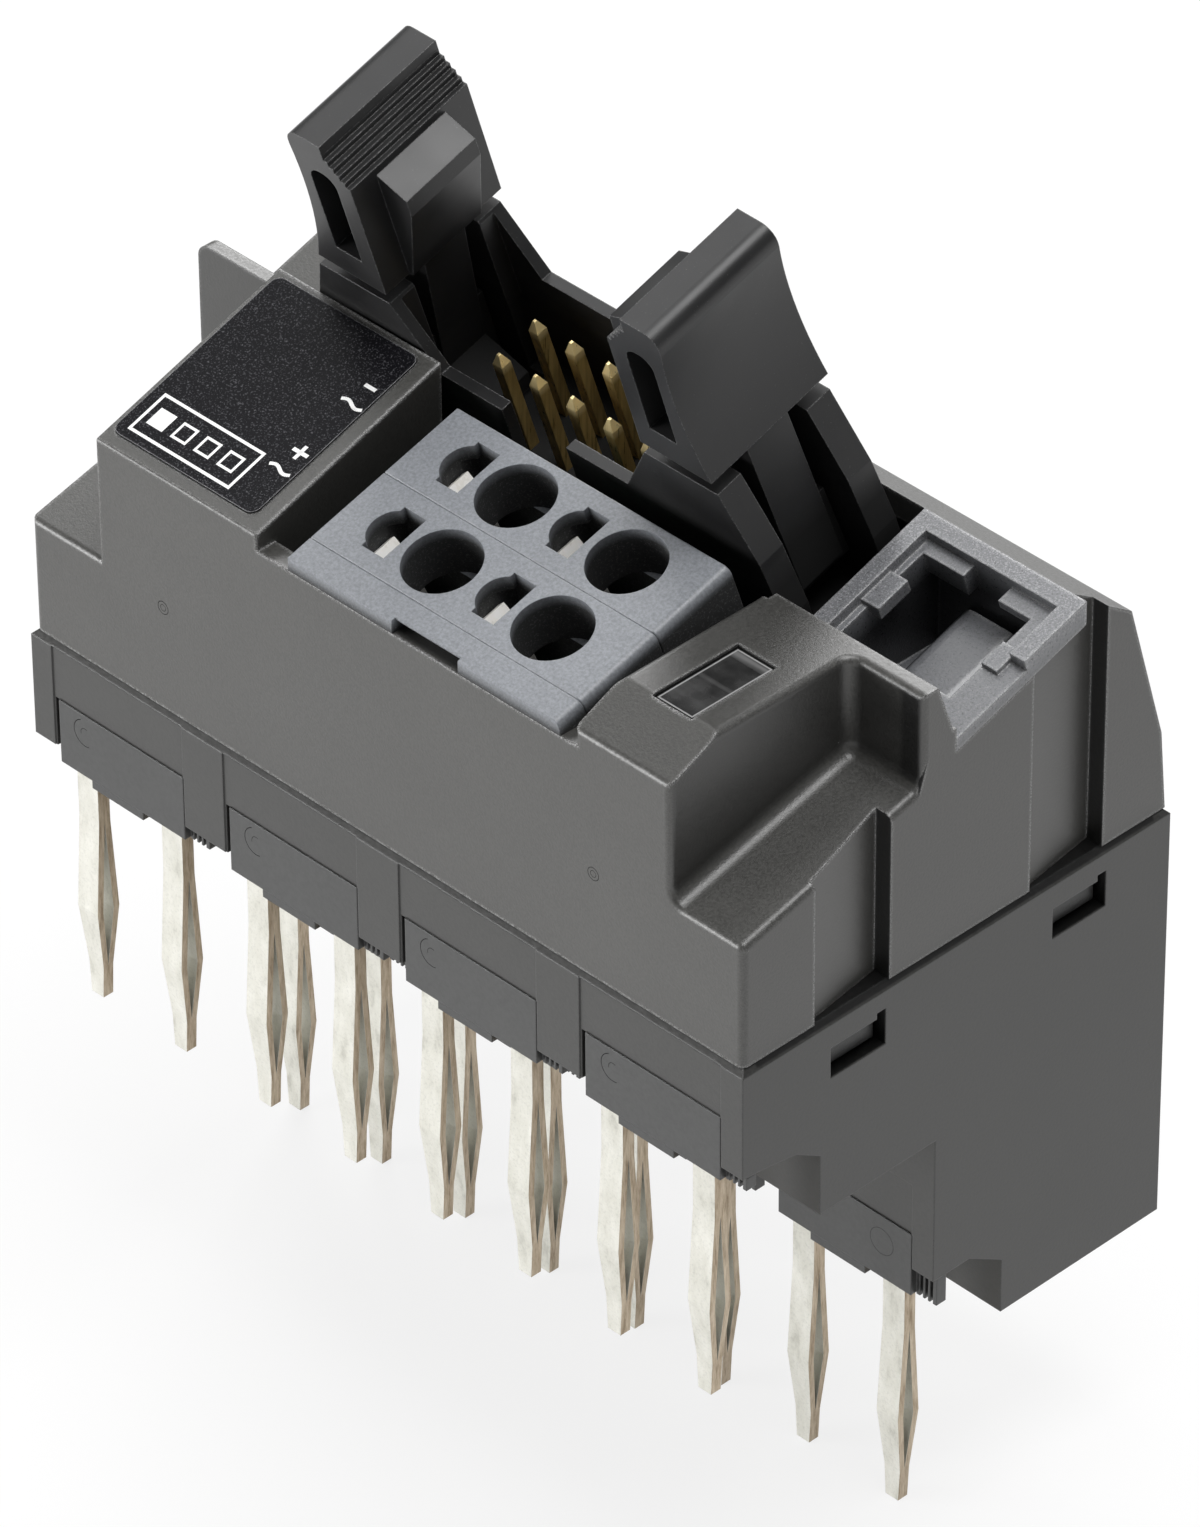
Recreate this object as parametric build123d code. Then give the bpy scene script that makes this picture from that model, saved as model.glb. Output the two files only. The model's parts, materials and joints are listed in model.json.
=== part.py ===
from build123d import *
import os
from math import cos, radians, sin, tan

# Working frame: X from the left end, Y from the front face, Z up from the joint of case and cover.
# Everything is moved to the plug origin when it is written.

# Channels and shell
channel_pitch = 6.2
channel_count = 8
width = channel_pitch * channel_count
wall = 1.2
end_wall = 1.4
rim_step = 0.2
rim_chamfer = 0.35

# Lower case, depths below the joint
front_drop = 6.4
lip_fall = 0.1
lip_y = 1.1
apron_y = 3.6
apron_drop = 6.9
foot_front = 5.2
foot_bevel_drop = 7.9
foot_drop = 11.5
box_front = 13.08
box_drop = 20.3
box_bevel_y = 15.6
box_step = 17.9
box_bevel_drop = 21.7
base_drop = 25.0
panel_sink = 0.07
panel_overlap = 0.4

# Pin holders and contact rows
row_gap = box_front
row_drop = 14.76
holder_first_x = 1.87
holder_width = 9.05
holder_depth = 2.6
holder_top = 3.44
holder_height = 3.8
holder_lip = 0.75
holder_gap = 0.3
side_gap = 0.05
lip_left_gap = 0.3
lip_right_gap = 0.7
lip_set_back = 0.25
lug_length = 1.35
lug_front = 0.4
lug_depth = 0.65
lug_clearance = 0.1
lug_slot = 0.2
lug_slots = 3
pins_per_holder = 2
holder_count = channel_count // pins_per_holder
gallery_wall = 0.95

# Contact pins
pin_first_x = 2.8
pin_row_y = 1.2
pin_width = 1.47
pin_thick = 0.75
pin_tip_width = 0.86
pin_bow = 1.45
pin_tip_drop = 21.9
pin_straight = 3.6
pin_bow_drop = 9.1
pin_close_drop = 12.7
pin_leaf_taper = 0.05
tail_thick = 0.6
tail_length = 2.4

# Boards
board_thick = 1.6
board_margin = 0.2
board_tilt = 18.0
board_front_y = 2.0
board_front_z = 3.4
board_side_play = 0.6
board_rear = 1.22
link_left = 8.0
link_right = 32.0
link_front = 3.5
link_back = 6.0

# Latches between case and cover
latch_ys = (7.7, 22.8)
latch_width = 3.7
latch_window_top = 1.75
latch_window_height = 1.8
latch_clearance = 0.25
latch_nick_width = 0.6
latch_nick_height = 0.35
tongue_thick = 1.0
nose_reach = 0.8

# Depth stack over the case: terminals, header and hood
strip_length = 1.57
module_length = 5.05
module_count = 2
label_overhang = 0.78
terminal_gap = 2.91
header_depth = 7.8
ridge_set_back = 1.465
hood_top = 3.15
hood_slope = 2.37
hood_foot = 0.6
terminal_length = strip_length + module_count * module_length
label_depth = terminal_length + label_overhang
header_along = terminal_length + terminal_gap + header_depth / 2
board_length = header_along + header_depth / 2 + board_rear
ridge_y = board_front_y + board_length * cos(radians(board_tilt)) - ridge_set_back
hood_edge_y = ridge_y + hood_top
hood_bend_y = hood_edge_y + hood_slope
case_depth = hood_bend_y + hood_foot

# Stack across the case, from the right end: right block, terminals and label block
right_block_width = 11.3
terminal_side_gap = 1.0
terminal_width = 18.45
label_gap = 2.2
label_width = 11.4
ear_outer = 15.65
header_inset = 15.85
header_clearance = 0.15
well_play_left = 0.6
well_play_right = 0.7
right_block_left = width - right_block_width
terminal_right = right_block_left - terminal_side_gap
terminal_left = terminal_right - terminal_width
label_right = terminal_left - label_gap
label_left = label_right - label_width
header_x = right_block_left - header_inset
well_left = header_x - ear_outer - well_play_left
well_right = header_x + ear_outer + well_play_right
board_left = end_wall + board_side_play
board_right = header_x + ear_outer

# Cover: left shoulder, label block and fin
shoulder_height = 6.65
shoulder_slope = 14.0
label_height = 13.94
label_tilt = 18.2
fin_thick = 0.75
fin_drop = 0.5
edge_round = 0.4
label_edge_round = 0.15

# Cover: rear hood
ridge_height = 5.083
ridge_z = board_front_z + (ridge_y - board_front_y) * tan(radians(board_tilt)) + ridge_height
hood_fall = 2.19
hood_edge_z = ridge_z - hood_fall
hood_bend_z = 4.71

# Cover: terminal bay and right block
bay_height = 13.05
right_block_front = 14.0
right_block_top = 15.43
right_block_shoulder_y = 3.45
right_block_slope = 1.26
insert_depth = 8.72
insert_front = ridge_y - insert_depth
right_block_back = insert_front - right_block_slope
pocket_width = 4.95
pocket_wall = 1.0
pocket_left = width - pocket_width
pocket_back = right_block_back - pocket_wall
pocket_floor = 7.1
pocket_round = 0.8
recess_width = 5.0
recess_ys = (4.95, 19.5)
recess_shallow = 0.33
recess_deep = 1.0

# Label plate
plate_thick = 0.2
plate_sink = 0.1
plate_margin_left = 0.35
plate_margin_right = 1.0
plate_margin_front = 0.8
plate_length = 11.7
plate_corner = 0.55

# Indicator
window_inset = 3.0
window_x = pocket_left - window_inset
window_y = 6.1
window_width = 2.6
window_length = 5.6
window_thick = 0.9
window_ledge = 0.4
guide_width = 1.8
guide_clearance = 0.2
window_sink = 0.15
lamp_size = 1.6
lamp_height = 0.8

# Header
header_height = 9.0
header_wall = 0.65
cavity_half = 8.6
cavity_floor = 6.6
rim_top = 0.25
ear_thick = 1.6
ear_top = 4.0
ear_outer_top = 13.6
ear_bend = 0.55
ear_bend_height = -0.2
ear_inner_top = 8.7
ear_inner_bottom = 6.4
notch_width = 4.4
header_pitch = 2.54
header_columns = 5
header_rows = 2
post_size = 0.64
post_tip = 0.6
post_tail = 1.0
post_hole = 1.0

# Levers
pivot_x = 11.8
pivot_drop = 4.0
trunnion_radius = 1.0
trunnion_clearance = 0.05
trunnion_depth = 0.9
lever_lean = 1.5
side_play = 0.3
grip_width = 8.1
grip_base = 5.0
grip_top = 14.75
grip_inner = 8.7
grip_foot = 13.4
grip_waist = 12.45
grip_waist_height = 9.4
grip_crown = 12.55
grip_crown_height = 13.6
crown_round = 0.9
crown_inner = 10.15
rib_foot = 12.55
rib_top = 14.15
rib_count = 5
rib_depth = 0.3
slot_inner = 9.8
slot_outer = 11.6
slot_base = 6.7
slot_top = 12.6
slot_round = 0.8
hook_width = 4.8
hook_reach = 6.9
hook_top = 12.1
hook_lip = 11.3
hook_nose = 10.2
hook_foot = 8.45
stem_width = 2.8
stem_top = 13.1
stem_foot = 14.2
stem_drop = 5.0
toe_reach = 7.4
toe_drop = 6.2
toe_thick = 1.0
hub_inner = 10.0
hub_top = 1.4
hub_drop = 5.6

# Clamp terminals
terminal_tilt = 15.5
terminal_front_z = 13.8
terminal_flare = 0.45
terminal_flare_depth = 5.0
terminal_round = 0.5
terminal_seam = 0.06
wire_hole_radius = 2.05
wire_hole_first = 6.5
wire_hole_pitch = 7.5
wire_hole_count = 2
wire_hole_xs = [terminal_left + wire_hole_first + i * wire_hole_pitch for i in range(wire_hole_count)]
wire_hole_depth = 8.5
wire_guide_depth = 3.0
release_offset = 3.3
release_radius = 1.4
release_slot = 1.5
release_length = 2.95
release_skin = 0.9
strip_clearance = 0.1
strip_notch_inset = 7.15
strip_notch_width = 4.5
strip_notch_length = 0.25
strip_notch_reach = 0.9
strip_notch_skin = 0.15
strip_notch_depth = 1.0
chamber_width = 3.2
chamber_left = 1.3
spring_thick = 0.35
spring_width = 1.65
spring_front = 1.2
spring_top = 1.15
spring_bend = 0.5
spring_knee = 5.0
spring_knee_x = 0.35
spring_reach = 2.3
wire_clearance = 0.6
contact_width = 2.0
contact_thick = 0.35
contact_right = 0.95
contact_left = 0.5
contact_top = 5.5

# Insert frame
insert_thick = 1.3
insert_step = 0.6
insert_rim = 1.0
insert_left_margin = 0.4
insert_right_margin = 1.0
insert_hole_front = 7.65
insert_jog = 4.4
insert_drop = 8.0
insert_wall = 0.4
back_tab_width = 2.65
back_tab_length = 0.8
back_tab_thick = 1.4
corner_tab_width = 3.1
corner_tab_length = 1.0
corner_tab_thick = 0.5
side_tab_width = 0.75
side_tab_from = 5.7
side_tab_to = 3.6
side_tab_rise = 0.25
pad_from = 5.4
pad_to = 3.85
core_left = 1.8
core_right = 1.5
core_back = 1.8
core_top = 3.2
core_round = 0.9

insert_hole_left = well_right + insert_rim + insert_left_margin
insert_hole_right = width - rim_step - insert_rim - insert_right_margin
insert_room_left = insert_hole_left - insert_wall
insert_room_right = insert_hole_right + insert_wall
insert_floor_z = ridge_z - (ridge_y - insert_front) * tan(radians(board_tilt)) - insert_step

# Working planes
board_frame = Plane(
    origin=(0, board_front_y, board_front_z),
    x_dir=(1, 0, 0),
    z_dir=(0, -sin(radians(board_tilt)), cos(radians(board_tilt))),
)
header_frame = board_frame * Plane(origin=(header_x, header_along, header_height))
label_frame = Plane(
    origin=(0, rim_step, label_height),
    x_dir=(1, 0, 0),
    z_dir=(0, -sin(radians(label_tilt)), cos(radians(label_tilt))),
)
terminal_frame = Plane(
    origin=(0, rim_step, terminal_front_z),
    x_dir=(1, 0, 0),
    z_dir=(0, -sin(radians(terminal_tilt)), cos(radians(terminal_tilt))),
)
insert_frame_plane = Plane(
    origin=(0, ridge_y, ridge_z),
    x_dir=(1, 0, 0),
    z_dir=(0, -sin(radians(board_tilt)), cos(radians(board_tilt))),
)
plug_origin = Pos(-width / 2, -pin_row_y - row_gap / 2, foot_drop)
FAR = 60.0


def block(x_from, x_to, y_from, y_to, z_from, z_to):
    size = (x_to - x_from, y_to - y_from, z_to - z_from)
    return Pos(x_from, y_from, z_from) * Box(*size, align=(Align.MIN, Align.MIN, Align.MIN))


def prism_x(outline, x_from, x_to):
    face = make_face(Plane.YZ.offset(x_from) * Polyline(*outline, close=True))
    return extrude(face, amount=x_to - x_from, dir=(1, 0, 0))


def prism_y(outline, y_from, y_to):
    face = make_face(Plane.XZ.offset(-y_from) * Polyline(*outline, close=True))
    return extrude(face, amount=y_to - y_from, dir=(0, 1, 0))


def prism_z(outline, z_from, z_to):
    face = make_face(Plane.XY.offset(z_from) * Polyline(*outline, close=True))
    return extrude(face, amount=z_to - z_from, dir=(0, 0, 1))


def hollow_x(outline, inset, x_from, x_to):
    face = make_face(Polyline(*outline, close=True))
    shrunk = offset(face, amount=-inset, kind=Kind.INTERSECTION)
    placed = Plane.YZ.offset(x_from) * shrunk
    return extrude(placed, amount=x_to - x_from, dir=(1, 0, 0))


def write(name, shape):
    export_step(plug_origin * shape, "parts/" + name + ".step")


# Lower case
def case_outline(top):
    return [
        (0, top),
        (0, -front_drop),
        (lip_y, -front_drop - lip_fall),
        (apron_y, -apron_drop),
        (foot_front, -foot_bevel_drop),
        (foot_front, -foot_drop),
        (box_front, -foot_drop),
        (box_front, -box_drop),
        (box_bevel_y, -box_drop),
        (box_step, -box_bevel_drop),
        (box_step, -base_drop),
        (case_depth, -base_drop),
        (case_depth, top),
    ]


def holder_xs():
    return [holder_first_x + i * pins_per_holder * channel_pitch for i in range(holder_count)]


def pin_xs():
    return [pin_first_x + i * channel_pitch for i in range(channel_count)]


def gallery(row):
    y_from = row * row_gap + wall / 2
    y_to = row * row_gap + holder_depth + gallery_wall
    z_top = -row * row_drop - holder_top + gallery_wall
    z_low = -row * row_drop - foot_drop
    return block(end_wall / 2, width - end_wall / 2, y_from, y_to, z_low, z_top)


def lower_case():
    body = prism_x(case_outline(0), 0, width)
    body = chamfer(body.edges().group_by(Axis.Z)[-1], rim_chamfer)
    shell = body - hollow_x(case_outline(FAR), wall, end_wall, width - end_wall)
    galleries = gallery(0) + gallery(1)
    shell += galleries & body
    for rib_x in (width / 2 - channel_pitch, width / 2 + channel_pitch):
        left = rib_x - wall / 2
        rib = block(left, left + wall, wall / 2, case_depth - wall / 2, -FAR, -board_thick)
        shell += rib & body
    for row in range(2):
        y_row = row * row_gap
        z_row = -row * row_drop
        for x in holder_xs():
            left = x - holder_gap
            right = x + holder_width + side_gap
            shell -= block(left, right, y_row - wall, y_row + holder_depth, -FAR, z_row - holder_top)
            panel_right = x + holder_width
            panel_top = z_row - rim_chamfer
            shell -= block(x - panel_overlap, panel_right, y_row - wall, y_row + panel_sink, -FAR, panel_top)
        for x in pin_xs():
            y_pin = y_row + pin_row_y
            shell -= block(
                x - pin_width / 2,
                x + pin_width / 2,
                y_pin - pin_thick / 2,
                y_pin + pin_thick / 2,
                z_row - holder_top - wall,
                -board_thick,
            )
    for end_x in (0, width):
        for y in latch_ys:
            shell -= block(
                end_x - end_wall,
                end_x + end_wall,
                y - latch_width / 2,
                y + latch_width / 2,
                -latch_window_top - latch_window_height,
                -latch_window_top,
            )
            shell -= block(
                end_x - end_wall,
                end_x + end_wall,
                y + latch_width / 2 - latch_nick_width,
                y + latch_width / 2,
                -latch_window_top,
                -latch_window_top + latch_nick_height,
            )
    return shell


# Pin holders
def holder_lug(x, row, z_low):
    underside = (front_drop + lip_fall, box_drop)[row]
    y_from = row * row_gap + lug_front
    z_from = z_low - lug_clearance
    z_to = -underside - lug_clearance
    lug = block(x, x + lug_length, y_from, y_from + lug_depth, z_from, z_to)
    slot_pitch = lug_length / (lug_slots + 1)
    for i in range(lug_slots):
        x_slot = x + (i + 1) * slot_pitch
        lug -= block(x_slot - lug_slot / 2, x_slot + lug_slot / 2, -FAR, y_from + lug_depth / 2, -FAR, FAR)
    return lug


def pin_holder(x, row):
    y_row = row * row_gap
    z_top = -row * row_drop - holder_top
    z_low = z_top - holder_height
    body = block(x, x + holder_width, y_row, y_row + holder_depth, z_low, z_top)
    pins = [p for p in pin_xs() if x < p < x + holder_width]
    lip_left = pins[0] + pin_width / 2 + lip_left_gap
    lip_right = pins[-1] - pin_width / 2 - lip_right_gap
    lip = block(lip_left, lip_right, y_row + lip_set_back, y_row + holder_depth, z_low - holder_lip, z_low)
    body += lip
    body += holder_lug(x + holder_width, row, z_low)
    for p in pins:
        y_pin = y_row + pin_row_y
        body -= block(
            p - pin_width / 2, p + pin_width / 2, y_pin - pin_thick / 2, y_pin + pin_thick / 2, -FAR, FAR
        )
    return body


# Contact pins
def contact_pin(x, row):
    y = row * row_gap + pin_row_y
    z_row = -row * row_drop
    z_hold = z_row - holder_top - holder_height
    z_straight = z_hold - pin_straight
    z_bow = z_hold - pin_bow_drop
    z_close = z_hold - pin_close_drop
    z_tip = z_row - pin_tip_drop
    half = pin_thick / 2
    half_tip = half - pin_leaf_taper
    half_bow = pin_bow / 2
    side = [
        (y - half, -board_thick - tail_thick),
        (y - half, z_straight),
        (y - half_bow, z_bow),
        (y - half_tip, z_close),
        (y - half_tip, z_tip),
        (y + half_tip, z_tip),
        (y + half_tip, z_close),
        (y + half_bow, z_bow),
        (y + half, z_straight),
        (y + half, -board_thick - tail_thick),
    ]
    front = [
        (x - pin_width / 2, -board_thick),
        (x - pin_width / 2, z_bow),
        (x - pin_tip_width / 2, z_tip),
        (x + pin_tip_width / 2, z_tip),
        (x + pin_width / 2, z_bow),
        (x + pin_width / 2, -board_thick),
    ]
    gap = half_bow - half
    slit = [(y, z_straight), (y - gap, z_bow), (y, z_close), (y + gap, z_bow)]
    leaves = prism_x(side, x - pin_width, x + pin_width) & prism_y(front, y - pin_bow, y + pin_bow)
    leaves -= prism_x(slit, x - pin_width, x + pin_width)
    tail = block(
        x - pin_width / 2,
        x + pin_width / 2,
        y - half,
        y - half + tail_length,
        -board_thick - tail_thick,
        -board_thick,
    )
    return leaves + tail


# Pin board and board link
def pin_board():
    inset = end_wall + board_margin
    front = wall + board_margin
    board = block(inset, width - inset, front, case_depth - front, -board_thick, 0)
    for end_x in (end_wall, width - end_wall):
        for y in latch_ys:
            reach = tongue_thick + board_margin
            half = latch_width / 2 - latch_clearance + board_margin
            board -= block(end_x - reach, end_x + reach, y - half, y + half, -board_thick, 0)
    return board


def upper_board():
    board = board_frame * block(board_left, board_right, 0, board_length, -board_thick, 0)
    for x, a in post_places():
        hole = Pos(x, a, -header_height) * Cylinder(post_hole / 2, 4 * board_thick)
        board -= header_frame * hole
    return board


def board_link():
    strip = block(link_left, link_right, link_front, link_back, 0, FAR / 4)
    above = board_frame * block(-FAR, FAR, -FAR, FAR, -board_thick, FAR)
    return strip - above


# Top cover
def outer_edges(faces, y_limit):
    found = []
    for face in faces:
        for edge in face.edges():
            known = any(edge.is_same(other) for other in found)
            if edge.center().Z > wall and edge.center().Y < y_limit and not known:
                found.append(edge)
    return found


def base_outline():
    shoulder_end = label_depth - fin_thick
    return [
        (rim_step, 0),
        (rim_step, shoulder_height),
        (shoulder_end, shoulder_height + shoulder_end * tan(radians(shoulder_slope))),
        (label_depth, ridge_z - (ridge_y - label_depth) * tan(radians(board_tilt))),
        (ridge_y, ridge_z),
        (hood_edge_y, hood_edge_z),
        (hood_bend_y, hood_bend_z),
        (case_depth - rim_step, 0),
    ]


def chamber(x_from, x_to):
    open_bottom = [(case_depth - rim_step, -FAR), (rim_step, -FAR)]
    return hollow_x(base_outline() + open_bottom, wall, x_from, x_to)


def label_block():
    rise = tan(radians(label_tilt))
    outline = [
        (rim_step, 0),
        (rim_step, label_height),
        (label_depth, label_height + (label_depth - rim_step) * rise),
        (label_depth, 0),
    ]
    body = prism_x(outline, label_left, label_right)
    front = body.faces().sort_by(Axis.Y)[0]
    top = body.faces().sort_by(Axis.Z)[-1]
    return fillet(outer_edges([front, top], label_depth - edge_round), label_edge_round)


def fin():
    top = label_height + (label_depth - rim_step) * tan(radians(label_tilt)) - fin_drop
    body = block(rim_step, label_left + wall, label_depth - fin_thick, label_depth, shoulder_height, top)
    corner = body.edges().filter_by(Axis.Y).group_by(Axis.Z)[-1].sort_by(Axis.X)[0]
    return fillet(corner, 2 * edge_round)


def corner_pocket():
    rise = tan(radians(shoulder_slope))
    outline = [
        (-wall, pocket_floor - wall * rise),
        (pocket_back, pocket_floor + pocket_back * rise),
        (pocket_back, FAR),
        (-wall, FAR),
    ]
    tool = prism_x(outline, pocket_left, width + wall)
    left = tool.faces().sort_by(Axis.X)[0].edges()
    back = tool.faces().filter_by(Axis.Y).sort_by(Axis.Y)[-1].edges()
    floor_edges = [left.sort_by(Axis.Z)[0], back.sort_by(Axis.Z)[0]]
    corner = back.sort_by(Axis.X)[0]
    return fillet(floor_edges + [corner], pocket_round)


def right_block():
    outline = [
        (rim_step, 0),
        (rim_step, right_block_front),
        (right_block_shoulder_y, right_block_top),
        (right_block_back, right_block_top),
        (insert_front, insert_floor_z),
        (insert_front, 0),
    ]
    body = prism_x(outline, right_block_left, width - rim_step) - corner_pocket()
    front = body.faces().sort_by(Axis.Y)[0]
    end = body.faces().filter_by(Axis.X).sort_by(Axis.X)[-1]
    top = body.faces().filter_by(Axis.Z).sort_by(Axis.Z)[-1]
    return fillet(outer_edges([front, end, top], pocket_back + rim_step), edge_round)


def end_recess(y_front):
    outline = [
        (width - rim_step - recess_shallow, y_front),
        (width - rim_step - recess_deep, y_front + recess_width),
        (width + 1, y_front + recess_width),
        (width + 1, y_front),
    ]
    return prism_z(outline, -1, FAR)


def top_cover():
    body = prism_x(base_outline(), rim_step, width - rim_step)
    base_front = body.faces().sort_by(Axis.Y)[0]
    body = fillet(outer_edges([base_front], wall), edge_round)
    body += label_block()
    body += fin()
    body += right_block()
    body += block(label_right - wall, right_block_left + wall, rim_step, wall + rim_step, 0, bay_height)
    body -= chamber(end_wall, well_right)
    body -= chamber(well_right + wall, width - end_wall)
    # Rooms in the label block and the right block
    inner_front = rim_step + wall
    label_room_top = label_height + (label_depth - rim_step) * tan(radians(label_tilt))
    room_right = label_right - wall
    label_room = block(label_left + wall, room_right, inner_front, label_depth - wall, 0, label_room_top)
    label_top_skin = label_frame * block(0, width, -FAR, FAR, -wall, FAR)
    body -= label_room - label_top_skin
    body -= block(
        well_right + wall,
        pocket_left - wall,
        inner_front,
        pocket_back - wall,
        0,
        right_block_front - wall,
    )
    # Open well and terminal bay
    body -= block(well_left, well_right, label_depth, ridge_y, -1, FAR)
    body -= block(label_right, right_block_left, inner_front, ridge_y, -1, FAR)
    # Seat of the insert frame
    seat = insert_frame_plane * block(well_right, width, -FAR, 0, -insert_thick, FAR)
    seat &= block(well_right, width, insert_front, ridge_y, 0, FAR)
    body -= seat
    body -= block(insert_room_left, insert_room_right, insert_front + insert_wall, ridge_y, 0, FAR)
    body -= header_room()
    # Walls over the board end at its top face
    under_board = board_frame * block(end_wall, board_right, 0, board_length, -FAR, 0)
    inner_zone = block(label_left, label_right, inner_front, label_depth + wall, 0, FAR)
    body -= under_board & inner_zone
    for y in recess_ys:
        body -= end_recess(y)
    body -= label_frame * label_outline(-plate_sink, FAR / 10)
    body -= window_seat()
    for end_x, side in ((end_wall, 1), (width - end_wall, -1)):
        for y in latch_ys:
            body += latch(end_x, side, y)
    return body


def header_room():
    reach = ear_outer + header_clearance
    half = header_depth / 2 + header_clearance
    return header_frame * block(-reach, reach, -half, half, -header_height, FAR / 2)


def latch(x, side, y):
    half = latch_width / 2 - latch_clearance
    bottom = -latch_window_top - latch_window_height + latch_clearance
    top = -latch_window_top - latch_clearance
    x_inner = x + side * tongue_thick
    tongue = block(min(x, x_inner), max(x, x_inner), y - half, y + half, bottom, latch_window_top)
    nose_tip = x - side * nose_reach
    nose = block(min(x, nose_tip), max(x, nose_tip), y - half, y + half, bottom, top)
    return tongue + nose


# Label plate
def label_outline(z_from, z_to):
    x_from = label_left + plate_margin_left
    x_to = label_right - plate_margin_right
    y_to = plate_margin_front + plate_length
    plate = block(x_from, x_to, plate_margin_front, y_to, z_from, z_to)
    return fillet(plate.edges().filter_by(Axis.Z), plate_corner)


def label_plate():
    return label_frame * label_outline(-plate_sink, plate_thick - plate_sink)


# Indicator window and lamp
def window_seat():
    half_x = window_width / 2
    half_y = window_length / 2
    top = right_block_top
    upper = block(
        window_x - half_x, window_x + half_x, window_y - half_y, window_y + half_y, top - window_thick, FAR
    )
    lower = block(
        window_x - half_x + window_ledge,
        window_x + half_x - window_ledge,
        window_y - half_y + window_ledge,
        window_y + half_y - window_ledge,
        top - 3 * window_thick,
        FAR,
    )
    return upper + lower


def indicator_window():
    half_x = window_width / 2
    half_y = window_length / 2
    top = right_block_top - window_sink
    lens = block(
        window_x - half_x,
        window_x + half_x,
        window_y - half_y,
        window_y + half_y,
        right_block_top - window_thick,
        top,
    )
    guide = block(
        window_x - guide_width / 2,
        window_x + guide_width / 2,
        window_y - guide_width / 2,
        window_y + guide_width / 2,
        lamp_height + guide_clearance,
        right_block_top - window_thick,
    )
    return lens + guide


def indicator_light():
    half = lamp_size / 2
    return block(window_x - half, window_x + half, window_y - half, window_y + half, 0, lamp_height)


# Insert frame
def insert_frame():
    plane = insert_frame_plane
    front_limit = block(well_right, width - rim_step, insert_front, ridge_y, 0, FAR)
    plate = (plane * block(well_right, width - rim_step, -FAR, 0, -insert_thick, 0)) & front_limit
    ledge_left = well_right + insert_rim
    ledge_right = width - rim_step - insert_rim
    ledge = block(ledge_left, ledge_right, -FAR, -insert_rim, -insert_step, FAR)
    plate -= plane * ledge
    low_end = block(ledge_left, width, -FAR, -insert_jog, -insert_step, FAR)
    plate -= plane * low_end
    box_front_y = insert_front + insert_wall
    box = block(insert_room_left, insert_room_right, box_front_y, ridge_y, ridge_z - insert_drop, FAR)
    box &= plane * block(0, width, -FAR, 0, -FAR, -insert_thick)
    plate += box
    floor_z = ridge_z - insert_drop + wall
    hole = plane * block(insert_hole_left, insert_hole_right, -insert_hole_front, -insert_rim, -FAR, FAR)
    hole &= block(0, width, 0, ridge_y - insert_wall, floor_z, FAR)
    plate -= hole
    core = block(
        insert_hole_left + core_left,
        insert_hole_right - core_right,
        -insert_hole_front - insert_wall,
        -core_back,
        -FAR,
        -core_top,
    )
    long_edges = core.edges().filter_by(Axis.Y).group_by(Axis.Z)[-1]
    core = plane * fillet(long_edges, core_round)
    plate += core & (hole + box)
    back_tab = block(
        insert_hole_left,
        insert_hole_left + back_tab_width,
        -insert_rim - back_tab_length,
        -insert_rim,
        -insert_step - back_tab_thick,
        -insert_step,
    )
    corner_tab = block(
        ledge_right - corner_tab_width,
        ledge_right,
        -insert_rim - corner_tab_length,
        -insert_rim,
        -insert_step - corner_tab_thick,
        -insert_step,
    )
    rise = -insert_step + side_tab_rise
    side_tab = block(
        ledge_left,
        insert_hole_left + side_tab_width,
        -side_tab_from,
        -side_tab_to,
        -insert_step - corner_tab_thick,
        rise,
    )
    pad = block(insert_hole_right, ledge_right, -pad_from, -pad_to, -insert_step, rise)
    plate += plane * (back_tab + corner_tab + side_tab + pad)
    return plate


# Header housing and posts
def post_places():
    places = []
    for row in range(header_rows):
        for column in range(header_columns):
            x = (column - (header_columns - 1) / 2) * header_pitch
            a = (row - (header_rows - 1) / 2) * header_pitch
            places.append((x, a))
    return places


def header_housing():
    half_depth = header_depth / 2
    right_side = [
        (ear_inner_bottom, rim_top),
        (ear_inner_top, ear_top),
        (ear_outer_top, ear_top),
        (ear_outer - ear_bend, ear_bend_height),
        (ear_outer, -pivot_drop),
        (ear_outer, -header_height),
    ]
    left_side = [(-x, h) for x, h in reversed(right_side)]
    body = prism_y(right_side + left_side, -half_depth, half_depth)
    inner = half_depth - header_wall
    body -= block(-cavity_half, cavity_half, -inner, inner, -cavity_floor, FAR)
    channel = half_depth - ear_thick
    lever_floor = -header_height + wall
    for side in (-1, 1):
        x_from = min(side * (cavity_half - 1), side * FAR)
        x_to = max(side * (cavity_half - 1), side * FAR)
        body -= block(x_from, x_to, -channel, channel, lever_floor, FAR)
        bearing = Pos(side * pivot_x, 0, -pivot_drop) * Rot(90, 0, 0)
        length = 2 * (channel + trunnion_depth)
        body -= bearing * Cylinder(trunnion_radius + trunnion_clearance, length)
    body -= block(-notch_width / 2, notch_width / 2, -FAR, 0, -cavity_floor, FAR)
    for x, a in post_places():
        body -= Pos(x, a, -header_height) * Box(post_size, post_size, FAR)
    return header_frame * body


def header_post(x, a):
    half = post_size / 2
    bottom = -header_height - board_thick - post_tail
    shank = block(-half, half, -half, half, bottom, -post_tip)
    base = Pos(0, 0, -post_tip) * Rectangle(post_size, post_size)
    point = Rectangle(post_size / 4, post_size / 4)
    tip = loft([base, point])
    return header_frame * (Pos(x, a, 0) * (shank + tip))


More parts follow.
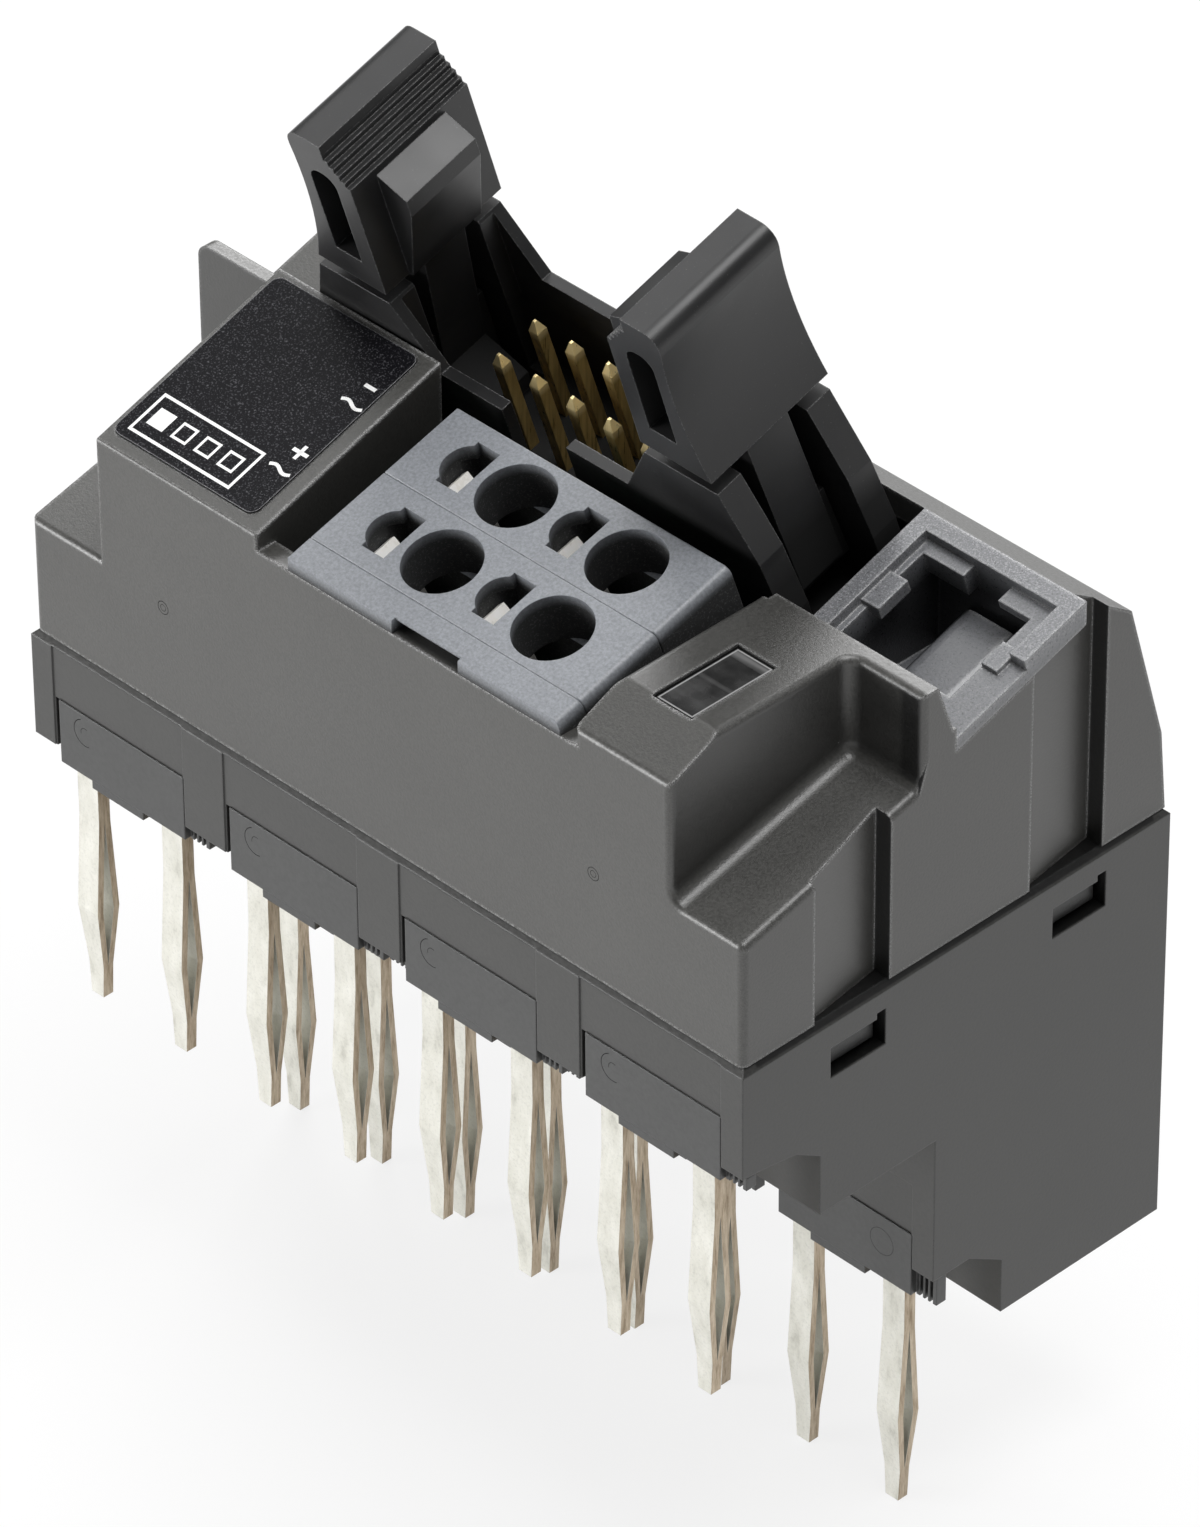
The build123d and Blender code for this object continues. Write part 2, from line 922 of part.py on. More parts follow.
# Levers
def lever():
    half = grip_width / 2
    waist = (grip_waist, grip_waist_height)
    outer = ThreePointArc((grip_foot, grip_base), waist, (grip_crown, grip_crown_height))
    rest = Polyline(
        (grip_crown, grip_crown_height),
        (grip_crown, grip_top),
        (crown_inner, grip_top),
        (crown_inner, rib_top),
        (grip_inner, rib_foot),
        (grip_inner, grip_base),
        (grip_foot, grip_base),
    )
    body = extrude(Plane.XZ.offset(half) * make_face(outer + rest), amount=grip_width, dir=(0, 1, 0))
    crown = body.edges().filter_by(Axis.Y).group_by(Axis.Z)[-1].sort_by(Axis.X)[-1]
    body = fillet(crown, crown_round)
    slot_depth = half - stem_width / 2
    for y_from in (-half, half - slot_depth):
        slot = block(slot_inner, slot_outer, y_from, y_from + slot_depth, slot_base, slot_top)
        body -= fillet(slot.edges().filter_by(Axis.Y).group_by(Axis.Z)[-1], slot_round)
    for i in range(rib_count):
        share = (i + 0.5) / rib_count
        x = grip_inner + share * (crown_inner - grip_inner)
        h = rib_foot + share * (rib_top - rib_foot)
        body -= Pos(x, 0, h) * Box(rib_depth, 2 * grip_width, rib_depth)
    hook = [
        (grip_inner, hook_top),
        (hook_reach, hook_lip),
        (hook_reach, hook_nose),
        (hook_foot, grip_base),
        (grip_inner, grip_base),
    ]
    body += prism_y(hook, -hook_width / 2, hook_width / 2)
    stem = [
        (grip_inner, grip_base),
        (stem_top, grip_base),
        (stem_foot, -stem_drop),
        (stem_foot - crown_round, -toe_drop),
        (toe_reach, -toe_drop),
        (toe_reach, -toe_drop + toe_thick),
        (hub_inner, -pivot_drop),
    ]
    body += prism_y(stem, -stem_width / 2, stem_width / 2)
    hub_half = header_depth / 2 - ear_thick - side_play
    hub = [
        (hub_inner, -hub_drop),
        (hub_inner, -hub_top),
        (stem_foot - crown_round, -hub_top),
        (stem_foot - side_play, -hub_drop),
    ]
    body += prism_y(hub, -hub_half, hub_half)
    trunnion_half = header_depth / 2 - ear_thick + trunnion_depth - side_play / 3
    axle = Pos(pivot_x, 0, -pivot_drop) * Rot(90, 0, 0) * Cylinder(trunnion_radius, 2 * trunnion_half)
    body += axle
    return body


def placed_lever(side):
    shape = lever()
    pivot = Pos(pivot_x, 0, -pivot_drop)
    leaned = pivot * Rot(0, side * lever_lean, 0) * pivot.inverse() * shape
    if side < 0:
        leaned = mirror(leaned, about=Plane.YZ)
    return header_frame * leaned


# Clamp terminals
def terminal_slice(v_from, v_to):
    outline = [
        (terminal_left, 0),
        (terminal_right, 0),
        (terminal_right + terminal_flare, -terminal_flare_depth),
        (terminal_right + terminal_flare, -FAR / 2),
        (terminal_left, -FAR / 2),
    ]
    body = prism_y(outline, v_from, v_to)
    edge = body.edges().filter_by(Axis.Y).group_by(Axis.Z)[-1].sort_by(Axis.X)[-1]
    body = fillet(edge, terminal_round)
    seams = body.edges().filter_by(Axis.X).group_by(Axis.Z)[-1]
    return chamfer(seams, terminal_seam)


def on_board(shape):
    return shape - board_frame * block(-FAR, FAR, -FAR, FAR, -FAR, 0)


def terminal_end_strip():
    body = on_board(terminal_frame * terminal_slice(-strip_length, strip_length))
    body &= block(0, width, rim_step, FAR, 0, FAR)
    body -= block(0, width, 0, rim_step + wall + strip_clearance, 0, bay_height)
    notch_left = terminal_left + strip_notch_inset
    notch_right = notch_left + strip_notch_width
    notch = block(notch_left, notch_right, -wall, strip_notch_length, -strip_notch_depth, wall)
    notch += block(notch_left, notch_right, -wall, strip_notch_reach, -strip_notch_depth, -strip_notch_skin)
    return body - terminal_frame * notch


def terminal_module(index):
    v_from = strip_length + index * module_length
    v_mid = v_from + module_length / 2
    body = terminal_slice(v_from, v_from + module_length)
    for x in wire_hole_xs:
        body -= Pos(x, v_mid, 0) * Cylinder(wire_hole_radius, 2 * wire_guide_depth)
        x_release = x - release_offset
        disc = Pos(x_release, v_mid, 0) * Cylinder(release_radius, 2 * wire_hole_depth)
        disc &= block(0, x_release + release_slot / 2, -FAR, FAR, -wire_hole_depth, FAR)
        body -= disc
        body -= block(
            x_release - release_slot / 2,
            x_release + release_slot / 2,
            v_mid - release_length / 2,
            v_mid + release_length / 2,
            -wire_hole_depth,
            FAR,
        )
        v_front = v_mid - chamber_width / 2
        v_back = v_mid + chamber_width / 2
        spring_left = x_release - chamber_left
        spring_right = x_release + release_slot / 2
        body -= block(spring_left, spring_right, v_front, v_back, -wire_hole_depth, -release_skin)
        wire_right = x + wire_hole_radius / 2
        body -= block(x_release, wire_right, v_front, v_back, -wire_hole_depth, -wire_guide_depth)
    return on_board(terminal_frame * body)


def clamp_spring(index, x):
    v_front = strip_length + (index + 0.5) * module_length - spring_front
    x_release = x - release_offset
    left = x_release - chamber_left
    knee = x_release + spring_knee_x
    tip = x_release + spring_reach
    outline = [
        (left, -wire_hole_depth),
        (left, -spring_top - spring_bend),
        (left + spring_bend, -spring_top),
        (left + 2 * spring_bend, -spring_top - spring_bend),
        (knee + spring_thick, -spring_knee),
        (tip + spring_thick, -wire_hole_depth + wire_clearance),
        (tip, -wire_hole_depth + wire_clearance),
        (knee, -spring_knee),
        (left + 2 * spring_bend - spring_thick, -spring_top - 2 * spring_bend),
        (left + spring_thick, -spring_top - 2 * spring_bend),
        (left + spring_thick, -wire_hole_depth),
    ]
    return terminal_frame * prism_y(outline, v_front, v_front + spring_width)


def wire_contact(index, x):
    v_mid = strip_length + (index + 0.5) * module_length
    bottom = -wire_hole_depth
    right = x + contact_right
    outline = [
        (x - contact_left, bottom),
        (right, bottom),
        (right, -contact_top),
        (right - contact_thick, -contact_top),
        (right - contact_thick, bottom + contact_thick),
        (x - contact_left, bottom + contact_thick),
    ]
    return terminal_frame * prism_y(outline, v_mid - contact_width / 2, v_mid + contact_width / 2)


def write_all():
    os.makedirs("parts", exist_ok=True)
    write("lower_case", lower_case())
    write("top_cover", top_cover())
    write("label_plate", label_plate())
    write("indicator_window", indicator_window())
    write("indicator_light", indicator_light())
    write("insert_frame", insert_frame())
    write("pin_board", pin_board())
    write("upper_board", upper_board())
    write("board_link", board_link())
    write("header_housing", header_housing())
    for number, (x, a) in enumerate(post_places()):
        row = number // header_columns + 1
        column = number % header_columns + 1
        write("header_pin_%d_%d" % (row, column), header_post(x, a))
    write("right_lever", placed_lever(1))
    write("left_lever", placed_lever(-1))
    write("terminal_end_strip", terminal_end_strip())
    write("terminal_module_front", terminal_module(0))
    write("terminal_module_rear", terminal_module(1))
    number = 0
    for index in range(module_count):
        for x in wire_hole_xs:
            number += 1
            write("clamp_spring_%d" % number, clamp_spring(index, x))
            write("wire_contact_%d" % number, wire_contact(index, x))
    for row, row_name in enumerate(("front", "rear")):
        for number, x in enumerate(holder_xs(), start=1):
            write("%s_holder_%d" % (row_name, number), pin_holder(x, row))
        for number, x in enumerate(pin_xs(), start=1):
            write("contact_pin_%s_%d" % (row_name, number), contact_pin(x, row))


write_all()
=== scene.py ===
import json
import math

import bmesh
import bpy
from mathutils import Matrix, Vector


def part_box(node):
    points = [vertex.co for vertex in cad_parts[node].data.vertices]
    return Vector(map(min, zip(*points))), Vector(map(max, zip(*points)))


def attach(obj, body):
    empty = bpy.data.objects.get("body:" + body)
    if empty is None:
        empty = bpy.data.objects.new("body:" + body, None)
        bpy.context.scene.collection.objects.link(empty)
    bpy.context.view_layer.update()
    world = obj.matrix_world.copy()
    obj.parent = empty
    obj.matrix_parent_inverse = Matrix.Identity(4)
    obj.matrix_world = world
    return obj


MM = 0.001

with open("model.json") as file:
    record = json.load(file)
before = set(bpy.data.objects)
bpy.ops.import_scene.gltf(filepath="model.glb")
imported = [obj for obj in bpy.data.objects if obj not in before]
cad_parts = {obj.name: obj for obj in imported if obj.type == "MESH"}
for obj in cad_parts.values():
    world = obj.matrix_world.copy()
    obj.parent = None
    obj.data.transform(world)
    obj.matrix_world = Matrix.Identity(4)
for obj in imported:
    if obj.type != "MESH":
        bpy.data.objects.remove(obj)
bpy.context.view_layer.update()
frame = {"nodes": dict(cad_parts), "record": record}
nodes = frame["nodes"]
BODY = "socket_body"

# Lengths are in millimetres from here on, in the shared frame, unless a call takes metres
BOARD_TILT = math.radians(18.0)
TERMINAL_TILT = math.radians(15.5)
JOINT_HEIGHT = 11.5
HOLDER_LIP = 0.75

ALONG_X = (1.0, 0.0, 0.0)
ALONG_Y = (0.0, 1.0, 0.0)
UP = (0.0, 0.0, 1.0)
FORWARD = (0.0, -1.0, 0.0)
BOARD_NORMAL = (0.0, -math.sin(BOARD_TILT), math.cos(BOARD_TILT))
TERMINAL_NORMAL = (0.0, -math.sin(TERMINAL_TILT), math.cos(TERMINAL_TILT))

BEVEL_SAMPLES = 4
COAT_ROUGHNESS = 0.12
GRAIN_SHADES = ((0.8, 0.8, 0.8), (1.15, 1.15, 1.15))
GLOSS_SPREAD = 0.07
EDGE_WIDTH = 0.34
SPECKLE_SIZE = 0.075
NEAR_BLACK = (0.004, 0.004, 0.004)
SHADE_BLACK = (0.003, 0.003, 0.003)
JOINT_AND_SHADE_BLACK = (0.006, 0.006, 0.006)
EDGE_HIGHLIGHT_GREY = (0.55, 0.55, 0.55)


def reach(node, direction):
    """How far a node goes in a direction."""
    obj = nodes[node]
    along = Vector(direction)
    return max(along.dot(obj.matrix_world @ vertex.co) for vertex in obj.data.vertices) / MM


# Node tools
class Surface:
    """A principled material with object coordinates in millimetres and helpers for its nodes."""

    def __init__(self, name, color, roughness=0.5, metallic=0.0, specular=0.5, coat=0.0):
        self.material = bpy.data.materials.new(name)
        self.material.use_nodes = True
        self.tree = self.material.node_tree
        self.shader = self.tree.nodes["Principled BSDF"]
        self.shader.inputs["Base Color"].default_value = (*color, 1.0)
        self.shader.inputs["Roughness"].default_value = roughness
        self.shader.inputs["Metallic"].default_value = metallic
        self.shader.inputs["Specular IOR Level"].default_value = specular
        self.shader.inputs["Coat Weight"].default_value = coat
        self.shader.inputs["Coat Roughness"].default_value = COAT_ROUGHNESS
        place = self.add("ShaderNodeTexCoord")
        self.millimetres = self.add("ShaderNodeVectorMath", operation="SCALE")
        self.millimetres.inputs["Scale"].default_value = 1.0 / MM
        self.link(place.outputs["Object"], self.millimetres.inputs[0])
        self.bump_normal = None

    def soften(self, radius):
        """Rounds the shading of sharp edges by radius millimetres."""
        bevel = self.add("ShaderNodeBevel", samples=BEVEL_SAMPLES)
        bevel.inputs["Radius"].default_value = radius * MM
        self.bump_normal = bevel.outputs["Normal"]
        self.link(self.bump_normal, self.shader.inputs["Normal"])

    def edge_share(self, radius, low=0.01, high=0.12):
        """One along the edges of the piece and zero on its flats."""
        bevel = self.add("ShaderNodeBevel", samples=BEVEL_SAMPLES)
        bevel.inputs["Radius"].default_value = radius * MM
        plain = self.add("ShaderNodeNewGeometry")
        likeness = self.add("ShaderNodeVectorMath", operation="DOT_PRODUCT")
        self.link(bevel.outputs["Normal"], likeness.inputs[0])
        self.link(plain.outputs["Normal"], likeness.inputs[1])
        return self.spread(likeness.outputs["Value"], 1.0, 0.0, 1 - high, 1 - low)

    def along(self, direction):
        """The place along a direction."""
        node = self.add("ShaderNodeVectorMath", operation="DOT_PRODUCT")
        self.link(self.millimetres.outputs[0], node.inputs[0])
        node.inputs[1].default_value = direction
        return node.outputs["Value"]

    def facing(self, direction, low, high):
        """One on faces that look along a direction and zero on the others."""
        plain = self.add("ShaderNodeNewGeometry")
        node = self.add("ShaderNodeVectorMath", operation="DOT_PRODUCT")
        self.link(plain.outputs["Normal"], node.inputs[0])
        node.inputs[1].default_value = direction
        return self.spread(node.outputs["Value"], 0.0, 1.0, low, high)

    def not_facing(self, direction, low, high):
        """Zero on faces that look along a direction and one on the others."""
        return self.spread(self.facing(direction, low, high), 1.0, 0.0, 0.0, 1.0)

    def past(self, direction, start, end):
        """Zero before start and one past end along a direction, and a slope between them."""
        return self.spread(self.along(direction), 0.0, 1.0, start, end)

    def short_of(self, direction, start, end, most=1.0):
        """Most before start and zero past end along a direction, and a slope between them."""
        return self.spread(self.along(direction), most, 0.0, start, end)

    def absolute(self, value):
        node = self.add("ShaderNodeMath", operation="ABSOLUTE")
        self.link(value, node.inputs[0])
        return node.outputs[0]

    def math(self, operation, first, second):
        node = self.add("ShaderNodeMath", operation=operation)
        self.link(first, node.inputs[0])
        if isinstance(second, float):
            node.inputs[1].default_value = second
        else:
            self.link(second, node.inputs[1])
        return node.outputs[0]

    def times(self, *values):
        product = values[0]
        for value in values[1:]:
            product = self.math("MULTIPLY", product, value)
        return product

    def add(self, kind, **settings):
        node = self.tree.nodes.new(kind)
        for key, value in settings.items():
            setattr(node, key, value)
        return node

    def link(self, source, target):
        self.tree.links.new(source, target)

    def noise(self, size, detail=2.0, rough=0.5, stretch=(1.0, 1.0, 1.0)):
        """Noise whose blotches are about size millimetres across."""
        scale = self.add("ShaderNodeMapping")
        scale.inputs["Scale"].default_value = [1.0 / (size * s) for s in stretch]
        self.link(self.millimetres.outputs[0], scale.inputs["Vector"])
        texture = self.add("ShaderNodeTexNoise")
        texture.inputs["Scale"].default_value = 1.0
        texture.inputs["Detail"].default_value = detail
        texture.inputs["Roughness"].default_value = rough
        self.link(scale.outputs[0], texture.inputs["Vector"])
        return texture.outputs["Fac"]

    def speckles(self, size):
        """Noise with rough edges, for dust and worn spots."""
        return self.noise(size, detail=2.0, rough=0.7)

    def ramp(self, value, stops):
        node = self.add("ShaderNodeValToRGB")
        ramp = node.color_ramp
        while len(ramp.elements) < len(stops):
            ramp.elements.new(0.5)
        for element, (place, color) in zip(ramp.elements, stops):
            element.position = place
            element.color = (*color, 1.0)
        self.link(value, node.inputs["Fac"])
        return node.outputs["Color"]

    def spread(self, value, low, high, from_low=0.3, from_high=0.7):
        node = self.add("ShaderNodeMapRange")
        node.inputs["From Min"].default_value = from_low
        node.inputs["From Max"].default_value = from_high
        node.inputs["To Min"].default_value = low
        node.inputs["To Max"].default_value = high
        self.link(value, node.inputs["Value"])
        return node.outputs["Result"]

    def mix(self, factor, first, second, blend="MIX"):
        node = self.add("ShaderNodeMix", data_type="RGBA", blend_type=blend)
        for socket, value in (("Factor", factor), ("A", first), ("B", second)):
            target = [s for s in node.inputs if s.name == socket and s.enabled][0]
            if isinstance(value, (float, int)):
                target.default_value = value
            elif isinstance(value, tuple):
                target.default_value = (*value, 1.0)
            else:
                self.link(value, target)
        return [s for s in node.outputs if s.enabled][0]

    def bump(self, height, depth):
        """Adds a bump whose full height is depth millimetres."""
        node = self.add("ShaderNodeBump")
        node.inputs["Strength"].default_value = 1.0
        node.inputs["Distance"].default_value = depth * MM
        self.link(height, node.inputs["Height"])
        if self.bump_normal is not None:
            self.link(self.bump_normal, node.inputs["Normal"])
        self.bump_normal = node.outputs["Normal"]
        self.link(self.bump_normal, self.shader.inputs["Normal"])

    def color(self, value):
        self.link(value, self.shader.inputs["Base Color"])

    def roughness(self, value):
        self.link(value, self.shader.inputs["Roughness"])


def shade(color, factor):
    return tuple(channel * factor for channel in color)


def moulded(
    name, color, roughness, grain, grain_depth, specular=0.5, vary=0.06, soft=0.12, edge_highlight=0.0
):
    """Moulded plastic with grain, a slow change of colour, uneven gloss and painted highlights
    along the edges.
    """
    surface = Surface(name, color, roughness, specular=specular)
    surface.soften(soft)
    slow = surface.noise(9.0, detail=3.0)
    fine = surface.noise(grain, detail=3.0, rough=0.65)
    base = surface.ramp(slow, [(0.3, shade(color, 1 - vary)), (0.7, shade(color, 1 + vary))])
    specks = surface.ramp(fine, [(0.35, GRAIN_SHADES[0]), (0.65, GRAIN_SHADES[1])])
    tone = surface.mix(1.0, base, specks, blend="MULTIPLY")
    # Painted highlight: light grey speckles along the edges stand in for light caught by them.
    if edge_highlight:
        glints = surface.spread(surface.speckles(SPECKLE_SIZE), 0.0, edge_highlight, 0.44, 0.62)
        painted_edge_highlight = surface.times(surface.edge_share(EDGE_WIDTH), glints)
        tone = surface.mix(painted_edge_highlight, tone, EDGE_HIGHLIGHT_GREY)
    surface.tone = tone
    surface.color(tone)
    surface.roughness(surface.spread(fine, roughness - GLOSS_SPREAD, roughness + GLOSS_SPREAD))
    surface.bump(fine, grain_depth)
    return surface


# Materials
def cover_plastic():
    """Grey case plastic, dark below the joint and on the walls that stay in shade: a dark joint
    line, and painted shade on the tongues below the joint and on those walls.
    """
    surface = moulded(
        "case_grey", (0.056, 0.0552, 0.0515), 0.37, 0.15, 0.014, specular=0.8, edge_highlight=0.8
    )
    low, high = (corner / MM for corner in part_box("top_cover"))
    # Near black below the joint: the dark joint line, and painted shade on the cover's tongues
    # inside the latch windows.
    joint_and_shade = surface.short_of(UP, JOINT_HEIGHT - 0.1, JOINT_HEIGHT, most=0.9)
    tone = surface.mix(joint_and_shade, surface.tone, NEAR_BLACK)
    # Painted shade on the forward-facing walls behind the front and on the end walls right of the
    # fin.
    behind_front = surface.past(ALONG_Y, low.y + 1.0, low.y + 1.5)
    risers = surface.times(surface.facing(FORWARD, 0.8, 0.95), behind_front)
    at_end = surface.past(ALONG_X, high.x - 1.6, high.x - 1.2)
    inside_end = surface.short_of(ALONG_X, high.x - 2.0, high.x - 1.5)
    right_of_fin = surface.past(ALONG_X, low.x + 16.0, low.x + 17.0)
    sides = surface.times(surface.facing(ALONG_X, 0.8, 0.95), inside_end, right_of_fin)
    # Painted shade, blackest on the forward-facing walls at the right end.
    tone = surface.mix(surface.times(risers, at_end, 0.85), tone, SHADE_BLACK)
    tone = surface.mix(surface.times(risers, 0.45), tone, JOINT_AND_SHADE_BLACK)
    tone = surface.mix(surface.times(sides, 0.45), tone, JOINT_AND_SHADE_BLACK)
    surface.color(tone)
    return surface.material


def case_plastic():
    """Darker grey, black along the joint, and painted shade inside the latch windows of both ends.
    """
    surface = moulded("lower_case_grey", (0.038, 0.0376, 0.0358), 0.38, 0.2, 0.008, specular=0.65)
    low, high = (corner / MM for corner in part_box("lower_case"))
    rim = surface.spread(surface.along(UP), 0.0, 0.6, JOINT_HEIGHT - 0.14, JOINT_HEIGHT - 0.04)
    tone = surface.mix(rim, surface.tone, JOINT_AND_SHADE_BLACK)
    across = surface.absolute(surface.along(ALONG_X))
    within = surface.spread(across, 1.0, 0.0, high.x - 0.12, high.x - 0.06)
    outer = surface.spread(across, 0.0, 1.0, high.x - 2.6, high.x - 2.5)
    above = surface.past(UP, JOINT_HEIGHT - 3.7, JOINT_HEIGHT - 3.6)
    behind_front = surface.past(ALONG_Y, low.y + 1.0, low.y + 1.1)
    before_rear = surface.short_of(ALONG_Y, high.y - 1.1, high.y - 1.0)
    # Painted shade inside the latch windows.
    windows = surface.times(within, outer, above, behind_front, before_rear, 0.92)
    surface.color(surface.mix(windows, tone, SHADE_BLACK))
    return surface.material


def holder_plastic():
    surface = moulded("holder_grey", (0.044, 0.0445, 0.044), 0.36, 0.3, 0.005, specular=0.65)
    return surface.material


# Near-black colour of the mould rings: painted shade along their raised lines.
def mark_painted_shade():
    return moulded("mould_mark_shade", NEAR_BLACK, 0.6, 0.3, 0.004, specular=0.2).material


def header_plastic():
    """Glossy black, duller far down inside the housing, where painted shade turns it nearly black;
    painted highlights on the edges and specks of dust.
    """
    surface = Surface("header_black", (0.016, 0.016, 0.0165), 0.32, specular=0.5)
    surface.soften(0.07)
    slow = surface.noise(4.0, detail=3.0)
    fine = surface.noise(0.35, detail=3.0)
    base = surface.ramp(slow, [(0.3, (0.014, 0.014, 0.0145)), (0.7, (0.023, 0.023, 0.0235))])
    dust = surface.spread(surface.speckles(0.11), 0.0, 0.3, 0.69, 0.76)
    tip = reach("header_pin_1_1", BOARD_NORMAL)
    # Painted shade far down inside the housing.
    painted_deep_shade = surface.short_of(BOARD_NORMAL, tip - 2.2, tip - 0.6, most=0.9)
    # Painted highlight: light speckles along the edges.
    glints = surface.spread(surface.speckles(SPECKLE_SIZE), 0.0, 0.5, 0.46, 0.62)
    painted_edge_highlight = surface.times(surface.edge_share(0.1), glints)
    tone = surface.mix(painted_edge_highlight, surface.mix(dust, base, (0.25, 0.25, 0.25)), (0.5, 0.5, 0.5))
    surface.color(surface.mix(painted_deep_shade, tone, NEAR_BLACK))
    gloss = surface.spread(slow, 0.33, 0.43)
    surface.roughness(surface.mix(painted_deep_shade, gloss, (0.9, 0.9, 0.9)))
    surface.bump(slow, 0.02)
    surface.bump(fine, 0.002)
    return surface.material


def terminal_plastic():
    """Blue-grey, with painted shade that makes the holes nearly black, and dust down the holes."""
    surface = moulded(
        "terminal_grey", (0.228, 0.24, 0.26), 0.36, 0.16, 0.006, specular=0.5, vary=0.05, soft=0.08
    )
    top = reach("terminal_end_strip", TERMINAL_NORMAL)
    # Painted shade down the holes.
    inside = surface.short_of(TERMINAL_NORMAL, top - 0.7, top - 0.08, most=0.95)
    painted_deep_shade = surface.times(inside, surface.not_facing(TERMINAL_NORMAL, 0.8, 0.95))
    dust = surface.spread(surface.noise(0.12, detail=2.0, rough=0.8), 0.0, 0.25, 0.56, 0.66)
    bore = surface.mix(dust, (0.02, 0.02, 0.0195), (0.3, 0.3, 0.3))
    surface.color(surface.mix(painted_deep_shade, surface.tone, bore))
    surface.roughness(surface.spread(painted_deep_shade, 0.36, 0.75))
    return surface.material


def insert_plastic():
    """Blue-grey with painted highlights as speckles on the rim, and painted shade down the inner
    walls.
    """
    surface = moulded(
        "insert_grey", (0.15, 0.154, 0.164), 0.32, 0.14, 0.014, specular=0.9, edge_highlight=1.0
    )
    top = reach("insert_frame", BOARD_NORMAL)
    # Painted shade down the inner walls.
    inside = surface.short_of(BOARD_NORMAL, top - 2.2, top - 0.9, most=0.88)
    painted_deep_shade = surface.times(inside, surface.not_facing(BOARD_NORMAL, 0.75, 0.9))
    # Painted highlight: light speckles near the rim.
    glints = surface.spread(surface.speckles(0.09), 0.0, 0.6, 0.5, 0.68)
    near = surface.past(BOARD_NORMAL, top - 0.9, top - 0.2)
    bright = surface.mix(surface.times(glints, near), surface.tone, (0.5, 0.5, 0.52))
    surface.color(surface.mix(painted_deep_shade, bright, (0.008, 0.008, 0.009)))
    return surface.material


def label_film():
    """Black film with a fine sparkle and a painted highlight along its edge."""
    black = (0.005, 0.005, 0.0065)
    surface = Surface("label_black", black, 0.4, specular=0.1)
    surface.soften(0.05)
    specks = surface.noise(0.1, detail=2.0, rough=0.6)
    sparkle = surface.ramp(specks, [(0.56, black), (0.74, (0.11, 0.11, 0.12))])
    # Painted highlight along the edge of the film.
    rim = surface.edge_share(0.09, 0.02, 0.2)
    surface.color(surface.mix(rim, sparkle, (0.35, 0.35, 0.36)))
    surface.roughness(surface.spread(surface.noise(4.0), 0.24, 0.38))
    surface.bump(specks, 0.006)
    return surface.material


def print_ink():
    surface = Surface("print_white", (0.83, 0.83, 0.82), 0.45)
    patchy = surface.noise(0.35, detail=3.0)
    surface.color(surface.ramp(patchy, [(0.3, (0.76, 0.76, 0.76)), (0.6, (0.88, 0.88, 0.87))]))
    surface.bump(patchy, 0.004)
    return surface.material


def lens_plastic():
    """Smoked lens with a painted highlight on its bevel inside a dark gap and soft ribs across its
    rear third.
    """
    surface = Surface("smoked_lens", (0.02, 0.02, 0.02), 0.12, specular=0.6, coat=0.5)
    low, high = (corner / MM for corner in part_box("indicator_window"))
    middle = (low + high) / 2
    half = (high - low) / 2
    cloud = surface.noise(1.1, detail=3.0)
    ribs = surface.noise(0.6, detail=1.0, stretch=(30.0, 1.0, 30.0))
    rear = surface.spread(surface.along(ALONG_Y), 0.1, 1.0, middle.y - 0.6, middle.y + 0.6)
    bright = surface.times(surface.spread(ribs, 0.0, 0.4, 0.45, 0.68), rear)
    base = surface.ramp(cloud, [(0.3, (0.012, 0.012, 0.012)), (0.7, (0.05, 0.05, 0.05))])
    tone = surface.mix(bright, base, (0.4, 0.4, 0.4))
    insets = []
    for direction, centre, limit in ((ALONG_X, middle.x, half.x), (ALONG_Y, middle.y, half.y)):
        away = surface.absolute(surface.math("SUBTRACT", surface.along(direction), centre))
        insets.append(surface.math("SUBTRACT", away, limit))
    nearest = surface.math("MAXIMUM", insets[0], insets[1])
    # Painted highlight on the bevel.
    bevel = surface.spread(nearest, 0.0, 0.8, -0.27, -0.2)
    gap = surface.spread(nearest, 0.0, 1.0, -0.19, -0.14)
    tone = surface.mix(bevel, tone, (0.6, 0.6, 0.6))
    surface.color(surface.mix(gap, tone, NEAR_BLACK))
    surface.bump(cloud, 0.01)
    return surface.material


def gold():
    """Gold plating: dull down the shank, bright at the tips."""
    surface = Surface("pin_gold", (0.7, 0.48, 0.17), 0.28, metallic=0.6, specular=0.8)
    surface.soften(0.05)
    drawn = surface.noise(0.2, detail=3.0, stretch=(1.0, 1.0, 12.0))
    dull = surface.ramp(drawn, [(0.3, (0.34, 0.235, 0.08)), (0.65, (0.6, 0.43, 0.16))])
    tip = reach("header_pin_1_1", BOARD_NORMAL)
    pointed = surface.past(BOARD_NORMAL, tip - 1.1, tip - 0.7)
    surface.color(surface.mix(pointed, dull, (1.0, 0.8, 0.4)))
    surface.roughness(surface.spread(drawn, 0.26, 0.4))
    surface.bump(drawn, 0.002)
    return surface.material


# Near-white colour: a painted reflection that stands in for the bright steel.
def bright_spring():
    surface = Surface("spring_steel", (0.99, 0.98, 0.94), 0.3, specular=1.0)
    drawn = surface.noise(0.4, detail=2.0, stretch=(6.0, 1.0, 1.0))
    surface.color(surface.ramp(drawn, [(0.3, (0.95, 0.92, 0.85)), (0.65, (0.99, 0.98, 0.95))]))
    surface.roughness(surface.spread(drawn, 0.25, 0.35))
    surface.bump(drawn, 0.001)
    return surface.material


